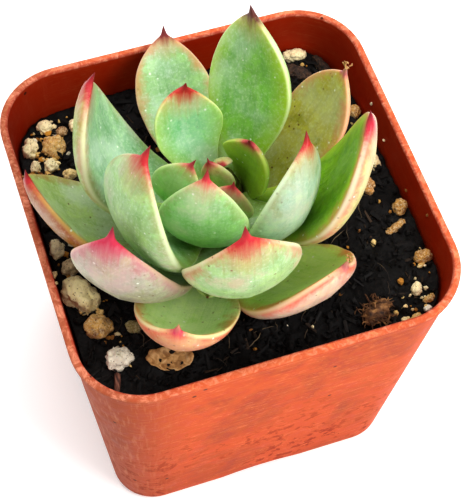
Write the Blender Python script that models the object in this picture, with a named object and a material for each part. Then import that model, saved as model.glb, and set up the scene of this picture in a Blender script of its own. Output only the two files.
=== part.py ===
"""Potted succulent: a small leafy rosette in a square nursery pot of gritty potting mix.

Everything is in metres, +Z up. The origin is the middle of the pot's underside, and the
pot's front wall faces -Y. Run it with: blender --background --python part.py
"""

import math

import bmesh
import bpy
from mathutils import Matrix, Vector, noise

MM = 0.001
GAP = 0.3 * MM  # clearance between pieces that touch

# Pot: a 2.5 inch square nursery pot, moulded in thin plastic
POT_TOP = 64.0 * MM
POT_BOTTOM = 52.8 * MM
POT_HEIGHT = 59.4 * MM
POT_WALL = 0.8 * MM
POT_FLOOR = 1.2 * MM
LIP_OVERHANG = 0.5 * MM
LIP_HEIGHT = 1.6 * MM
TOP_CORNER = 11.0 * MM
BOTTOM_CORNER = 7.6 * MM
DRAIN_RADIUS = 2.4 * MM
DRAIN_OFFSET = 11.0 * MM
SLOT_WIDTH = 20.0 * MM
SLOT_RISE = 1.8 * MM
SLOT_DEPTH = 5.0 * MM
ARCH_STEPS = 12

# Potting mix and the stem that is rooted in it
MIX_LEVEL = 51.0 * MM
STEM_FOOT = 36.0 * MM
STEM_NECK = 52.0 * MM
STEM_TOP = 64.0 * MM
STEM_RADIUS = 3.4 * MM
STEM_TIP_RADIUS = 1.1 * MM

# Leaves: shared proportions of every leaf
LOWEST_LEAF = 52.6 * MM
LEAF_STEP = 0.55 * MM
LEAF_RIB = 0.6 * MM
LEAF_PLUMPNESS = 0.12
LEAF_FULLNESS = 0.8
LEAF_AROUND = 12
LEAF_RINGS = (0.0, 0.0, 0.07, 0.16, 0.28, 0.41, 0.54, 0.67, 0.78, 0.87, 0.93, 0.965, 1.0)
# The blunt shoulder ends at this share of a leaf's length. The point on it has a width and a
# length, as shares of the leaf's own.
SHOULDER_END = 0.95
POINT_WIDTH = 0.22
POINT_LENGTH = 0.16


def clear_scene():
    for thing in list(bpy.data.objects):
        bpy.data.objects.remove(thing, do_unlink=True)


def plastic(name, color, roughness):
    """A plain dielectric material in the piece's own colour."""
    material = bpy.data.materials.new(name)
    material.use_nodes = True
    shader = material.node_tree.nodes["Principled BSDF"]
    shader.inputs["Base Color"].default_value = (*color, 1.0)
    shader.inputs["Roughness"].default_value = roughness
    shader.inputs["Metallic"].default_value = 0.0
    material.diffuse_color = (*color, 1.0)
    return material


def add_object(name, bm, material, smooth_angle=40.0):
    """Turn a bmesh into a named object with its faces pointing out."""
    bmesh.ops.recalc_face_normals(bm, faces=bm.faces)
    mesh = bpy.data.meshes.new(name)
    bm.to_mesh(mesh)
    bm.free()
    mesh.materials.append(material)
    mesh.shade_smooth()
    mesh.set_sharp_from_angle(angle=math.radians(smooth_angle))
    piece = bpy.data.objects.new(name, mesh)
    bpy.context.scene.collection.objects.link(piece)
    return piece


def blend(start, end, share):
    return start + (end - start) * share


def bump(x, y, middle_x, middle_y, reach):
    """A soft round mound, 1 at its middle."""
    return math.exp(-((x - middle_x) ** 2 + (y - middle_y) ** 2) / reach**2)


# ---------------------------------------------------------------- pot


def pot_half(z):
    """Half the outer width of the tapering wall at height z."""
    top = POT_TOP / 2 - LIP_OVERHANG
    return blend(POT_BOTTOM / 2, top, z / POT_HEIGHT)


def corner_radius(z):
    return blend(BOTTOM_CORNER, TOP_CORNER, z / POT_HEIGHT)


def rounded_square(bm, half, radius, z, corner_steps=7, side_steps=1):
    """A ring of vertices round a square with round corners, and the edges between them."""
    points = []
    for quarter in range(4):
        turn = Matrix.Rotation(quarter * math.pi / 2, 3, "Z")
        for step in range(corner_steps + 1):
            angle = step / corner_steps * math.pi / 2
            inset = half - radius
            points.append(turn @ Vector((inset + radius * math.cos(angle),
                                         inset + radius * math.sin(angle), 0)))
        start = points[-1]
        end = turn @ Vector((radius - half, half, 0))
        for step in range(1, side_steps):
            points.append(start.lerp(end, step / side_steps))
    ring = [bm.verts.new((point.x, point.y, z)) for point in points]
    edges = [bm.edges.new((a, b)) for a, b in zip(ring, ring[1:] + ring[:1])]
    return ring, edges


def loft(bm, rings):
    """Bridge each ring of edges to the next."""
    for (_, lower), (_, upper) in zip(rings, rings[1:]):
        bmesh.ops.bridge_loops(bm, edges=lower + upper)


def cutter(name, bm):
    """An object that only cuts others: hidden in renders, drawn as wire."""
    bmesh.ops.recalc_face_normals(bm, faces=bm.faces)
    mesh = bpy.data.meshes.new(name)
    bm.to_mesh(mesh)
    bm.free()
    tool = bpy.data.objects.new(name, mesh)
    tool.hide_render = True
    tool.display_type = "WIRE"
    bpy.context.scene.collection.objects.link(tool)
    return tool


def cut(piece, tool):
    modifier = piece.modifiers.new(tool.name, "BOOLEAN")
    modifier.operation = "DIFFERENCE"
    modifier.solver = "EXACT"
    modifier.object = tool


def cut_now(piece, tool):
    """Cut, and keep the result as the piece's own mesh."""
    cut(piece, tool)
    finished = piece.evaluated_get(bpy.context.evaluated_depsgraph_get())
    piece.data = bpy.data.meshes.new_from_object(finished)
    piece.modifiers.clear()
    bpy.data.objects.remove(tool)


def make_pot():
    """One shell: up the outside, over the lip, down the inside and across the floor."""
    bm = bmesh.new()
    lip_bottom = POT_HEIGHT - LIP_HEIGHT
    lip_half = POT_TOP / 2
    rim_inner = lip_half - LIP_OVERHANG - POT_WALL
    soft = 0.3 * MM
    outline = (
        (pot_half(0) - soft, 0.0),
        (pot_half(soft), soft),
        (pot_half(lip_bottom), lip_bottom),
        (lip_half, lip_bottom + soft),
        (lip_half, POT_HEIGHT - soft),
        (lip_half - soft, POT_HEIGHT),
        (rim_inner + soft, POT_HEIGHT),
        (rim_inner, POT_HEIGHT - soft),
        (pot_half(POT_FLOOR * 2) - POT_WALL, POT_FLOOR * 2),
        (pot_half(POT_FLOOR) - POT_WALL * 2, POT_FLOOR),
    )
    rings = []
    for half, z in outline:
        radius = corner_radius(z) + half - pot_half(z)
        rings.append(rounded_square(bm, half, radius, z))
    loft(bm, rings)
    bm.faces.new(rings[0][0])
    bm.faces.new(rings[-1][0])
    pot = add_object("pot", bm, plastic("terracotta plastic", (0.72, 0.12, 0.045), 0.42), 30)

    bm = bmesh.new()
    for quarter in range(4):
        angle = (quarter + 0.5) * math.pi / 2
        place = Matrix.Translation((DRAIN_OFFSET * math.cos(angle), DRAIN_OFFSET * math.sin(angle), 0))
        bmesh.ops.create_cone(bm, cap_ends=True, segments=16, radius1=DRAIN_RADIUS,
                              radius2=DRAIN_RADIUS, depth=6 * POT_FLOOR, matrix=place)
    cut(pot, cutter("drain_holes", bm))

    # A shallow arch in the foot of each side, so that water drains on a flat surface
    arch_radius = ((SLOT_WIDTH / 2) ** 2 + SLOT_RISE**2) / (2 * SLOT_RISE)
    half_angle = math.asin(SLOT_WIDTH / 2 / arch_radius)
    bm = bmesh.new()
    for side in range(4):
        turn = Matrix.Rotation(side * math.pi / 2, 3, "Z")
        outline = [Vector((-SLOT_WIDTH / 2, 0, -POT_FLOOR)), Vector((SLOT_WIDTH / 2, 0, -POT_FLOOR))]
        for step in range(ARCH_STEPS + 1):
            angle = blend(half_angle, -half_angle, step / ARCH_STEPS)
            outline.append(Vector((arch_radius * math.sin(angle), 0,
                                   arch_radius * math.cos(angle) - arch_radius + SLOT_RISE)))
        start = Vector((0, -POT_BOTTOM / 2 - SLOT_DEPTH, 0))
        face = bm.faces.new([bm.verts.new(turn @ (start + point)) for point in outline])
        pushed = bmesh.ops.extrude_face_region(bm, geom=[face])["geom"]
        moved = [item for item in pushed if isinstance(item, bmesh.types.BMVert)]
        bmesh.ops.translate(bm, verts=moved, vec=turn @ Vector((0, 2 * SLOT_DEPTH, 0)))
    cut(pot, cutter("drain_arches", bm))


# ---------------------------------------------------------------- potting mix


def mix_height(x, y):
    """Level of the potting mix: heaped at the right wall, sunk at the plant and in the back corners."""
    level = MIX_LEVEL
    level += 2.0 * MM * bump(x, y, 30 * MM, -14 * MM, 14 * MM)
    level -= 0.6 * MM * bump(x, y, 0, 0, 16 * MM)
    level -= 1.5 * MM * bump(x, y, 31 * MM, 26 * MM, 9 * MM)
    level -= 1.2 * MM * bump(x, y, -22 * MM, 28 * MM, 12 * MM)
    return level


def crumbs(x, y):
    """Small unevenness that is left out under the plant."""
    away = min(1.0, max(0.0, (math.hypot(x, y) - 12 * MM) / (8 * MM)))
    return away * 0.7 * MM * noise.noise(Vector((x, y, 0)) / (4.5 * MM))


def make_mix(sockets):
    """A block that fills the pot, with a hole for the stem and a socket for each stone."""
    bm = bmesh.new()
    floor = POT_FLOOR + GAP
    options = {"corner_steps": 6, "side_steps": 8}

    def inside(z):
        return pot_half(z) - POT_WALL - GAP

    rings = [
        rounded_square(bm, inside(floor) - POT_WALL, corner_radius(0) - 2 * POT_WALL, floor, **options),
        rounded_square(bm, inside(2.4 * MM), corner_radius(0) - POT_WALL, 2.4 * MM, **options),
    ]
    rim = inside(MIX_LEVEL - 4 * MM)
    radius = corner_radius(MIX_LEVEL) - POT_WALL - GAP
    for share in (1.0, 0.985, 0.93, 0.86, 0.78, 0.69, 0.58, 0.44, 0.28, 0.12):
        ring = rounded_square(bm, rim * share, radius * share, 0, **options)
        for vert in ring[0]:
            vert.co.z = mix_height(vert.co.x, vert.co.y) + crumbs(vert.co.x, vert.co.y)
            if share == 1.0:
                vert.co.z -= 0.6 * MM
        rings.append(ring)
    loft(bm, rings)
    bm.faces.new(rings[0][0])
    bm.faces.new(rings[-1][0])
    mix = add_object("potting_mix", bm, plastic("potting mix", (0.02, 0.015, 0.011), 0.95))
    modifier = mix.modifiers.new("sockets", "BOOLEAN")
    modifier.operation = "DIFFERENCE"
    modifier.solver = "EXACT"
    modifier.operand_type = "COLLECTION"
    modifier.collection = sockets


# ---------------------------------------------------------------- stem


def stem_radius(z):
    """The stem is straight in the mix and tapers up through the leaves."""
    if z <= STEM_NECK:
        return STEM_RADIUS
    return blend(STEM_RADIUS, STEM_TIP_RADIUS, (z - STEM_NECK) / (STEM_TOP - STEM_NECK))


def stem_mesh(grow=0.0):
    """Circles stacked up the stem, with a rounded foot and growing point."""
    bm = bmesh.new()
    outline = (
        (0.5 * STEM_RADIUS, STEM_FOOT),
        (0.9 * STEM_RADIUS, STEM_FOOT + 1.5 * MM),
        (STEM_RADIUS, STEM_FOOT + 4 * MM),
        (STEM_RADIUS, STEM_NECK),
        (stem_radius(STEM_TOP), STEM_TOP),
        (0.5 * STEM_TIP_RADIUS, STEM_TOP + 0.8 * MM),
    )
    rings = []
    for radius, z in outline:
        circle = bmesh.ops.create_circle(bm, segments=16, radius=radius + grow,
                                         matrix=Matrix.Translation((0, 0, z)))
        edges = list({edge for vert in circle["verts"] for edge in vert.link_edges})
        rings.append((circle["verts"], edges))
    loft(bm, rings)
    bm.faces.new(rings[0][0])
    bm.faces.new(rings[-1][0])
    for vert in rings[0][0]:
        vert.co.z -= grow
    return bm


# ---------------------------------------------------------------- leaves

# Each leaf from the lowest to the innermost. Heading is the compass direction it leaves
# the stem in, anticlockwise from +X, and sway how far it bends sideways by its tip. Rise is
# its slope at the stem and at the tip, curl how late it turns up, tilt how far the blade
# rolls over, and cup how deep its hollow is. Angles are in degrees, lengths in mm.
LEAVES = (
    # name, heading, sway, rise at foot, rise at tip, curl, length, width, tilt, cup
    ("leaf_front_low", -124, 4, 3, 98, 1.9, 38.5, 16.0, 6, 0.40),
    ("leaf_far_left", -179, -15, -5, 87, 1.2, 38.5, 16.0, 14, 0.20),
    ("leaf_front_right_low", -82, 25, -5, 96, 1.2, 34.0, 19.0, 13, 0.15),
    ("leaf_back_right", 15, 1, 21, 78, 1.0, 30.5, 13.0, -8, 0.10),
    ("leaf_back_left", 100, -17, -5, 43, 0.9, 30.5, 13.0, -19, 0.20),
    ("leaf_front_tucked", -116, 0, 2, 45, 0.9, 22.0, 6.0, 0, 0.10),
    ("leaf_core_right", -5, -6, 77, 99, 0.7, 18.5, 10.0, 45, 0.25),
    ("leaf_front_left", -143, -3, -5, 115, 1.2, 45.5, 16.5, 22, 0.25),
    ("leaf_right", -44, 12, 16, 99, 0.8, 40.0, 20.0, 15, 0.05),
    ("leaf_front", -101, -4, 6, 106, 1.0, 45.0, 18.0, 8, 0.30),
    ("leaf_left", 167, -20, 6, 115, 1.1, 37.5, 18.5, -12, 0.05),
    ("leaf_back", 49, 17, 49, 71, 2.0, 30.0, 16.0, -39, 0.05),
    ("leaf_left_inner", -149, 2, 3, 121, 0.9, 45.5, 18.0, -27, 0.15),
    ("leaf_right_inner", -76, 16, -4, 123, 0.7, 36.0, 15.0, 33, 0.30),
    ("leaf_back_inner", 123, -19, 29, 89, 0.9, 19.0, 11.5, -40, 0.30),
    ("leaf_front_inner", -122, 0, 14, 122, 1.1, 34.5, 13.5, 9, 0.20),
    ("leaf_core_left", -155, 14, 17, 122, 1.0, 26.0, 9.0, 25, 0.05),
    ("leaf_bud_front", -110, 6, 19, 108, 1.0, 19.0, 8.0, -22, 0.05),
    ("leaf_bud_right", 121, 40, 78, 122, 0.4, 9.0, 4.0, -16, 0.20),
    ("leaf_bud_back", -115, -24, 60, 111, 2.0, 13.5, 5.0, -5, 0.10),
)


def swell(share, foot, widest, shoulder, point):
    """Breadth along a leaf, 1 at its widest place and 0 at its tip."""
    if share < widest:
        return foot + (1 - foot) * math.sin(math.pi / 2 * share / widest) ** 1.6
    return (1 - min(1.0, (share - widest) / (1 - widest)) ** shoulder) ** point


def leaf_outline(share):
    """Width of a blade along its length, 1 at its widest: a full shoulder, then a short point."""
    body = swell(share / SHOULDER_END, 0.28, 0.6, 2.4, 0.85)
    point = POINT_WIDTH * min(1.0, (1 - share) / POINT_LENGTH)
    return (body**3 + point**3) ** (1 / 3)


class Leaf:
    """The blade of one leaf: a curved middle line with a cupped, plump section along it."""

    def __init__(self, heading, sway, rise_foot, rise_tip, curl, length, width, tilt, cup, height):
        self.heading = math.radians(heading)
        self.sway = math.radians(sway)
        self.rise_foot = math.radians(rise_foot)
        self.rise_tip = math.radians(rise_tip)
        self.curl = curl
        self.length = length * MM
        self.half_width = width / 2 * MM
        self.tilt = math.radians(tilt)
        self.cup = cup
        self.plump = LEAF_PLUMPNESS * width * MM + LEAF_RIB
        reach = stem_radius(height) + GAP
        self.foot = Vector((reach * math.cos(self.heading), reach * math.sin(self.heading), height))

    def frame(self, share):
        """Unit vectors along the middle line and across the blade, before the blade's own tilt."""
        rise = blend(self.rise_foot, self.rise_tip, share**self.curl)
        flat = math.cos(rise)
        out = Vector((flat * math.cos(self.heading), flat * math.sin(self.heading), math.sin(rise)))
        side = Vector((-math.sin(self.heading), math.cos(self.heading), 0))
        turn = self.sway * share
        along = out * math.cos(turn) + side * math.sin(turn)
        return along, side * math.cos(turn) - out * math.sin(turn)

    def middle(self, share, steps=24):
        """A point on the middle line, found by walking along it from the foot."""
        stride = share / steps
        walk = sum((self.frame((step + 0.5) * stride)[0] for step in range(steps)), Vector())
        return self.foot + walk * stride * self.length

    def surface(self, share, angle, grow=0.0):
        """A point on the skin: angle runs round the section, 0 to 180 degrees on the inner face."""
        along, across = self.frame(share)
        across = Matrix.Rotation(self.tilt * share, 3, along) @ across
        inward = along.cross(across)
        breadth = self.half_width * leaf_outline(share) + grow
        side = breadth * rounded(math.cos(angle))
        belly = 0.45 if math.sin(angle) > 0 else 1.0
        thick = self.plump * swell(share, 0.45, 0.42, 2.4, 0.95) + grow
        rise = thick * belly * rounded(math.sin(angle)) + self.cup * side**2 / self.half_width
        return self.middle(share) + across * side + inward * rise


def rounded(wave):
    """Fuller version of a sine or cosine, so that a section through a leaf has thick margins."""
    return math.copysign(abs(wave) ** LEAF_FULLNESS, wave)


def leaf_mesh(leaf, grow=0.0):
    """A ball of rings and poles, drawn out into the blade: its poles are the foot and the tip."""
    bm = bmesh.new()
    rings = len(LEAF_RINGS) - 1
    bmesh.ops.create_uvsphere(bm, u_segments=LEAF_AROUND, v_segments=rings, radius=1.0)
    for vert in bm.verts:
        ring = round(math.acos(max(-1.0, min(1.0, -vert.co.z))) / math.pi * rings)
        share = LEAF_RINGS[ring]
        if ring in (0, rings):
            vert.co = leaf.middle(share) + leaf.frame(share)[0] * (grow if ring else -grow)
        else:
            vert.co = leaf.surface(share, math.atan2(vert.co.y, vert.co.x), grow)
    return bm


def meet(one, other, margin=GAP):
    """Whether the boxes round two objects overlap, or nearly so."""
    for axis in range(3):
        here = [vert.co[axis] for vert in one.data.vertices]
        there = [vert.co[axis] for vert in other.data.vertices]
        if min(here) > max(there) + margin or min(there) > max(here) + margin:
            return False
    return True


def keep_biggest_island(obj):
    """Drop the loose crumbs that a cut can leave behind."""
    bm = bmesh.new()
    bm.from_mesh(obj.data)
    waiting = set(bm.verts)
    islands = []
    while waiting:
        island = set()
        edge = [waiting.pop()]
        while edge:
            vert = edge.pop()
            island.add(vert)
            near = {other for link in vert.link_edges for other in link.verts} & waiting
            waiting -= near
            edge += near
        islands.append(island)
    biggest = max(islands, key=len)
    bmesh.ops.delete(bm, geom=[vert for vert in bm.verts if vert not in biggest], context="VERTS")
    bm.to_mesh(obj.data)
    bm.free()


def make_leaves():
    """The rosette. Neighbours press together as they grow, and the older, lower one gives way."""
    green = plastic("leaf", (0.30, 0.52, 0.18), 0.45)
    grown = []
    for order, (name, *shape) in enumerate(LEAVES):
        leaf = Leaf(*shape, LOWEST_LEAF + order * LEAF_STEP)
        grown.append((leaf, add_object(name, leaf_mesh(leaf), green)))
    for order, (_, lower) in enumerate(grown):
        for leaf, upper in grown[order + 1:]:
            if meet(lower, upper):
                cut_now(lower, cutter("neighbour", leaf_mesh(leaf, GAP)))
        keep_biggest_island(lower)


# ---------------------------------------------------------------- grit and litter

# Stones bedded in the mix: place, length, width and height in mm, and the turn of the
# length from +X in degrees.
STONES = (
    # name, x, y, length, width, height, turn
    ("pumice_back_left_1", -23.8, 26.6, 2.8, 2.5, 2.2, 0),
    ("pumice_back_left_2", -23.4, 21.8, 4.4, 3.7, 3.2, 110),
    ("pumice_back_left_3", -27.3, 22.7, 4.0, 2.4, 2.6, 72),
    ("pumice_back_left_4", -21.2, 25.0, 2.0, 1.7, 1.5, 0),
    ("pumice_back_left_5", -18.6, 25.2, 3.2, 2.3, 2.2, 70),
    ("pumice_left_1", -24.9, 18.3, 2.7, 2.2, 2.0, 60),
    ("pumice_left_2", -22.4, 15.7, 2.5, 2.0, 1.8, 0),
    ("pumice_left_3", -27.4, 18.8, 2.2, 1.7, 1.8, 70),
    ("pumice_left_4", -28.6, 16.2, 1.8, 1.5, 1.4, 20),
    ("pumice_left_5", -28.2, 1.9, 3.4, 2.6, 2.6, 80),
    ("pumice_left_6", -26.9, -1.8, 3.3, 2.9, 2.6, 30),
    ("pumice_block", -26.9, -7.7, 7.0, 4.6, 4.8, -55),
    ("pumice_front_left_1", -25.7, -13.8, 4.2, 3.8, 3.4, 0),
    ("perlite_front_left", -24.2, -20.0, 4.6, 3.7, 3.2, 10),
    ("pumice_front_left_2", -20.3, -15.4, 2.7, 2.1, 2.0, -30),
    ("pumice_back_right", 22.7, 28.0, 4.3, 2.3, 2.4, -15),
    ("pumice_right_1", 28.5, 13.1, 2.3, 2.0, 2.0, 60),
    ("pumice_right_2", 27.9, 1.7, 3.0, 1.8, 1.8, 80),
    ("pumice_right_3", 24.9, -2.4, 3.0, 2.0, 2.0, 75),
    ("pumice_right_4", 28.2, -8.3, 3.0, 2.4, 2.2, 60),
    ("pumice_right_5", 26.0, -11.7, 3.9, 1.3, 1.4, 24),
    ("pumice_right_6", 28.2, -18.3, 3.2, 2.3, 2.2, 0),
    ("pumice_front_right_1", 25.2, -23.3, 2.2, 1.8, 1.8, 60),
    ("pumice_front_right_2", 26.6, -25.3, 2.4, 1.2, 1.3, 20),
    ("pumice_front_right_3", 25.7, -26.9, 1.4, 1.1, 1.2, 0),
    ("pumice_front_right_4", 23.2, -27.9, 2.0, 1.5, 1.6, 10),
)
# Flakes and clumps of bark, fibre and dead leaf, in the same terms
CHIPS = (
    ("bark_chip_1", 26.8, 24.8, 5.0, 1.8, 1.8, -70),
    ("bark_chip_2", 22.0, 24.3, 5.2, 2.6, 1.8, -43),
    ("coir_clump", 17.8, -25.0, 6.4, 3.6, 2.4, 27),
    ("dried_leaf", -16.5, -22.5, 8.0, 4.0, 0.9, -15),
)
STONE_SINK = 0.3  # share of a stone's height that is below the mix
TWIG_START = Vector((-25.1, -22.4, 0)) * MM
TWIG_END = Vector((-26.2, -26.2, 0)) * MM
TWIG_RADIUS = 0.55 * MM


def lump_mesh(x, y, length, width, height, turn, grow=0.0, rough=0.16):
    """An uneven rounded lump, partly sunk in the mix at x, y. Lengths are in mm."""
    bm = bmesh.new()
    bmesh.ops.create_icosphere(bm, subdivisions=2, radius=0.5)
    for vert in bm.verts:
        vert.co *= 1 + rough * noise.noise(vert.co * 3 + Vector((x, y, length)))
    size = Vector((length * MM + grow, width * MM + grow, height * MM + grow))
    level = mix_height(x * MM, y * MM) + (0.5 - STONE_SINK) * height * MM
    place = Matrix.Translation((x * MM, y * MM, level)) @ Matrix.Rotation(math.radians(turn), 4, "Z")
    bmesh.ops.transform(bm, matrix=place @ Matrix.Diagonal((*size, 1)), verts=bm.verts)
    return bm


def twig_mesh(grow=0.0):
    """A short straight length of twig that lies on the mix."""
    axis = TWIG_END - TWIG_START
    middle = (TWIG_START + TWIG_END) / 2
    middle.z = mix_height(middle.x, middle.y) + TWIG_RADIUS * 0.4
    place = Matrix.Translation(middle) @ axis.to_track_quat("Z", "Y").to_matrix().to_4x4()
    bm = bmesh.new()
    bmesh.ops.create_cone(bm, cap_ends=True, segments=10, radius1=TWIG_RADIUS + grow,
                          radius2=0.85 * TWIG_RADIUS + grow, depth=axis.length + 2 * grow, matrix=place)
    return bm


def make_litter():
    """Stones and litter, and a socket in the mix for each of them and for the stem."""
    pumice = plastic("pumice", (0.72, 0.55, 0.33), 0.9)
    bark = plastic("bark", (0.05, 0.03, 0.018), 0.9)
    husk = plastic("dried_leaf", (0.42, 0.24, 0.10), 0.8)
    sockets = bpy.data.collections.new("sockets")
    bpy.context.scene.collection.children.link(sockets)
    growth = 3 * GAP

    def socket(name, bm):
        tool = cutter(name + "_socket", bm)
        bpy.context.scene.collection.objects.unlink(tool)
        sockets.objects.link(tool)

    for name, *shape in STONES:
        add_object(name, lump_mesh(*shape), pumice)
        socket(name, lump_mesh(*shape, grow=growth))
    for name, *shape in CHIPS:
        add_object(name, lump_mesh(*shape), husk if name == "dried_leaf" else bark)
        socket(name, lump_mesh(*shape, grow=growth))
    add_object("twig", twig_mesh(), bark)
    socket("twig", twig_mesh(grow=1.3 * GAP))
    socket("stem", stem_mesh(grow=GAP))
    return sockets


def main():
    clear_scene()
    make_leaves()
    make_pot()
    make_mix(make_litter())
    add_object("stem", stem_mesh(), plastic("stem", (0.20, 0.14, 0.07), 0.8))


main()
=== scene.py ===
"""Looks of a potted succulent: a plump rosette in gritty mix, in a square plastic nursery pot."""

import math
import random

import bmesh
import bpy
from mathutils import Matrix, Vector, noise


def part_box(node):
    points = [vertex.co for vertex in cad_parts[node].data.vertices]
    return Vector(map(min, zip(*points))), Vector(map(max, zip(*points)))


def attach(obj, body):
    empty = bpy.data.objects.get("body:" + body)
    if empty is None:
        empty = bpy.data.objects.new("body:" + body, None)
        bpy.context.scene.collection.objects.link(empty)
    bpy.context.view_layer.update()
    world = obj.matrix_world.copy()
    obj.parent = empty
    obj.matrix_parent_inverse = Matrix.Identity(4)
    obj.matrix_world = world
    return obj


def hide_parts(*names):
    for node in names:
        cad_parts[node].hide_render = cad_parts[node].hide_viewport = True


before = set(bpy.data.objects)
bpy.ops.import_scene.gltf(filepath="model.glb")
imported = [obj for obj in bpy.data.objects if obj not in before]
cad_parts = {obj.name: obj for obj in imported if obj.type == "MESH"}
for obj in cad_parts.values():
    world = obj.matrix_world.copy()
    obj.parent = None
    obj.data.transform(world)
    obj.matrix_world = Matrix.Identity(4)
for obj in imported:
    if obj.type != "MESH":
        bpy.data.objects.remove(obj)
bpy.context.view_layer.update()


# ---------------------------------------------------------------- viewpoint
# The plant is looked down on from in front and a little to the left, from less than a quarter
# of a metre away, through a long lens that is rolled slightly.

MM = 0.001
AIM = Vector((-0.7, -6.6, 51.0)) * MM
DISTANCE = 234.9 * MM
VIEW_HEADING = math.radians(-112.32)
VIEW_RISE = math.radians(60.66)
VIEW_ROLL = math.radians(4.2)
FOCAL_LENGTH = 102.455
FILM_WIDTH = 36

back = Vector((math.cos(VIEW_RISE) * math.cos(VIEW_HEADING),
               math.cos(VIEW_RISE) * math.sin(VIEW_HEADING),
               math.sin(VIEW_RISE)))
lens = bpy.data.cameras.new("viewpoint")
lens.sensor_width = FILM_WIDTH
lens.lens = FOCAL_LENGTH
lens.clip_start = 0.01
viewpoint = bpy.data.objects.new("viewpoint", lens)
looking = (-back).to_track_quat("-Z", "Y").to_matrix().to_4x4()
viewpoint.matrix_world = (Matrix.Translation(AIM + back * DISTANCE) @ looking
                          @ Matrix.Rotation(VIEW_ROLL, 4, "Z"))
bpy.context.scene.collection.objects.link(viewpoint)
bpy.context.scene.camera = viewpoint


# ---------------------------------------------------------------- table and light
# A backlit sheet of white acrylic that the pot stands on, and soft studio light: a big
# overhead diffuser, a window-like key from the front right and pale walls all round.

TABLE_WHITE = "#FAFAF8"
WALL_WHITE = "#F4F6FA"
TABLE_SIZE = 6.0
TABLE_GLOW = 0.2
WALL_GLOW = 0.9
LAMP_AIM = Vector((0, 0, 0.05))


def linear(colour, alpha=1.0):
    """An sRGB hex colour as linear red, green, blue and alpha."""
    parts = [int(colour[place:place + 2], 16) / 255 for place in (1, 3, 5)]
    return (*(part / 12.92 if part <= 0.04045 else ((part + 0.055) / 1.055) ** 2.4 for part in parts), alpha)


def add_node(material, kind, *inputs, stops=(), **settings):
    """Add a shader node. Inputs fill its sockets in order, and settings fill its options and its
    sockets by name, each with a value, a hex colour, a node or one output of a node."""
    tree = material.node_tree
    node = tree.nodes.new("ShaderNode" + kind)
    for name, value in settings.items():
        if name[0].islower():
            setattr(node, name, value)
    filled = list(zip(node.inputs, inputs))
    filled += [(node.inputs[name.replace("_", " ")], value)
               for name, value in settings.items() if name[0].isupper()]
    for socket, value in filled:
        if isinstance(value, bpy.types.Node):
            value = value.outputs[0]
        if isinstance(value, bpy.types.NodeSocket):
            tree.links.new(value, socket)
        elif value is not None:
            socket.default_value = linear(value) if isinstance(value, str) else value
    for number, (place, colour) in enumerate(stops):
        ramp = node.color_ramp.elements
        stop = ramp[number] if number < 2 else ramp.new(place)
        stop.position = place
        stop.color = linear(colour)
    return node


def new_material(name):
    material = bpy.data.materials.new(name)
    material.use_nodes = True
    material.node_tree.nodes.clear()
    return material


def surface(material, shader):
    add_node(material, "OutputMaterial", shader)


# Opal acrylic, lit from below: flat white, so the pot leaves only a faint shadow on it
white_top = new_material("backlit white acrylic")
surface(white_top, add_node(white_top, "BsdfPrincipled", Base_Color=TABLE_WHITE, Roughness=0.6,
                            Emission_Color=TABLE_WHITE, Emission_Strength=TABLE_GLOW))

bm = bmesh.new()
bmesh.ops.create_grid(bm, x_segments=1, y_segments=1, size=TABLE_SIZE / 2)
mesh = bpy.data.meshes.new("table_top")
bm.to_mesh(mesh)
bm.free()
mesh.materials.append(white_top)
table_top = bpy.data.objects.new("table_top", mesh)
bpy.context.scene.collection.objects.link(table_top)

room = bpy.data.worlds.new("pale room")
room.use_nodes = True
walls = room.node_tree.nodes["Background"].inputs
walls["Color"].default_value = linear(WALL_WHITE)
walls["Strength"].default_value = WALL_GLOW
bpy.context.scene.world = room
view = bpy.context.scene.view_settings
view.view_transform = "Standard"
view.gamma = 0.86
view.exposure = 0.02


def softbox(name, place, size, watts):
    """A square diffuser lamp that faces the plant."""
    lamp = bpy.data.lights.new(name, "AREA")
    lamp.size = size
    lamp.energy = watts
    stand = bpy.data.objects.new(name, lamp)
    facing = (LAMP_AIM - Vector(place)).to_track_quat("-Z", "Y")
    stand.matrix_world = Matrix.Translation(place) @ facing.to_matrix().to_4x4()
    bpy.context.scene.collection.objects.link(stand)


softbox("key", place=(0.42, -0.42, 0.7), size=0.45, watts=5.2)
softbox("overhead", place=(0.0, 0.3, 0.85), size=0.6, watts=3.5)


# ---------------------------------------------------------------- pot
# A 2.5 inch square nursery pot, injection-moulded in one piece from terracotta-red
# polypropylene: walls 0.8 mm thick, corners that widen upwards, a small rolled lip, four
# drain holes in the floor and a drain arch in the foot of each side.

pot_high = Vector(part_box("pot")[1])
POT_HEIGHT = pot_high.z
LIP_OVERHANG = 0.5 * MM
LIP_HEIGHT = 1.6 * MM
TOP_HALF = pot_high.x - LIP_OVERHANG
FOOT_HALF = 26.4 * MM
WALL = 0.8 * MM
FLOOR = 1.2 * MM
TOP_CORNER = 11.0 * MM
FOOT_CORNER = 7.6 * MM
CORNER_STEPS = 14
WALL_CUTS = 11
DRAIN_RADIUS = 2.4 * MM
DRAIN_OFFSET = 11.0 * MM
ARCH_WIDTH = 20.0 * MM
ARCH_RISE = 1.8 * MM
POT_CREASE = math.radians(35)
FOOT_ROUND = 0.9 * MM
LIP_ROUND = 0.4 * MM
FLOOR_FILLET = 1.5 * MM
SCRATCH_LENGTH = 16 * MM
SCRATCH_PITCH = 1.3 * MM
SPLASH = 2.4 * MM
RUN_WIDTH = 0.7 * MM
SPECK_PITCH = 5.5 * MM

TERRACOTTA = "#C4470C"
TERRACOTTA_DEEP = "#A23607"
TERRACOTTA_FRESH = "#C84A0C"
TERRACOTTA_SCUFFED = "#E8965C"
LIP_SCUFF_AND_HIGHLIGHT = "#F0A484"
TERRACOTTA_SHADED_INSIDE = "#A02204"
POTTING_STAIN = "#9A2A04"
LEFT_WALL_SHADE = "#7E3410"
DRIED_RUN = "#D69A74"
SPECK = "#3A1710"


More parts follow.
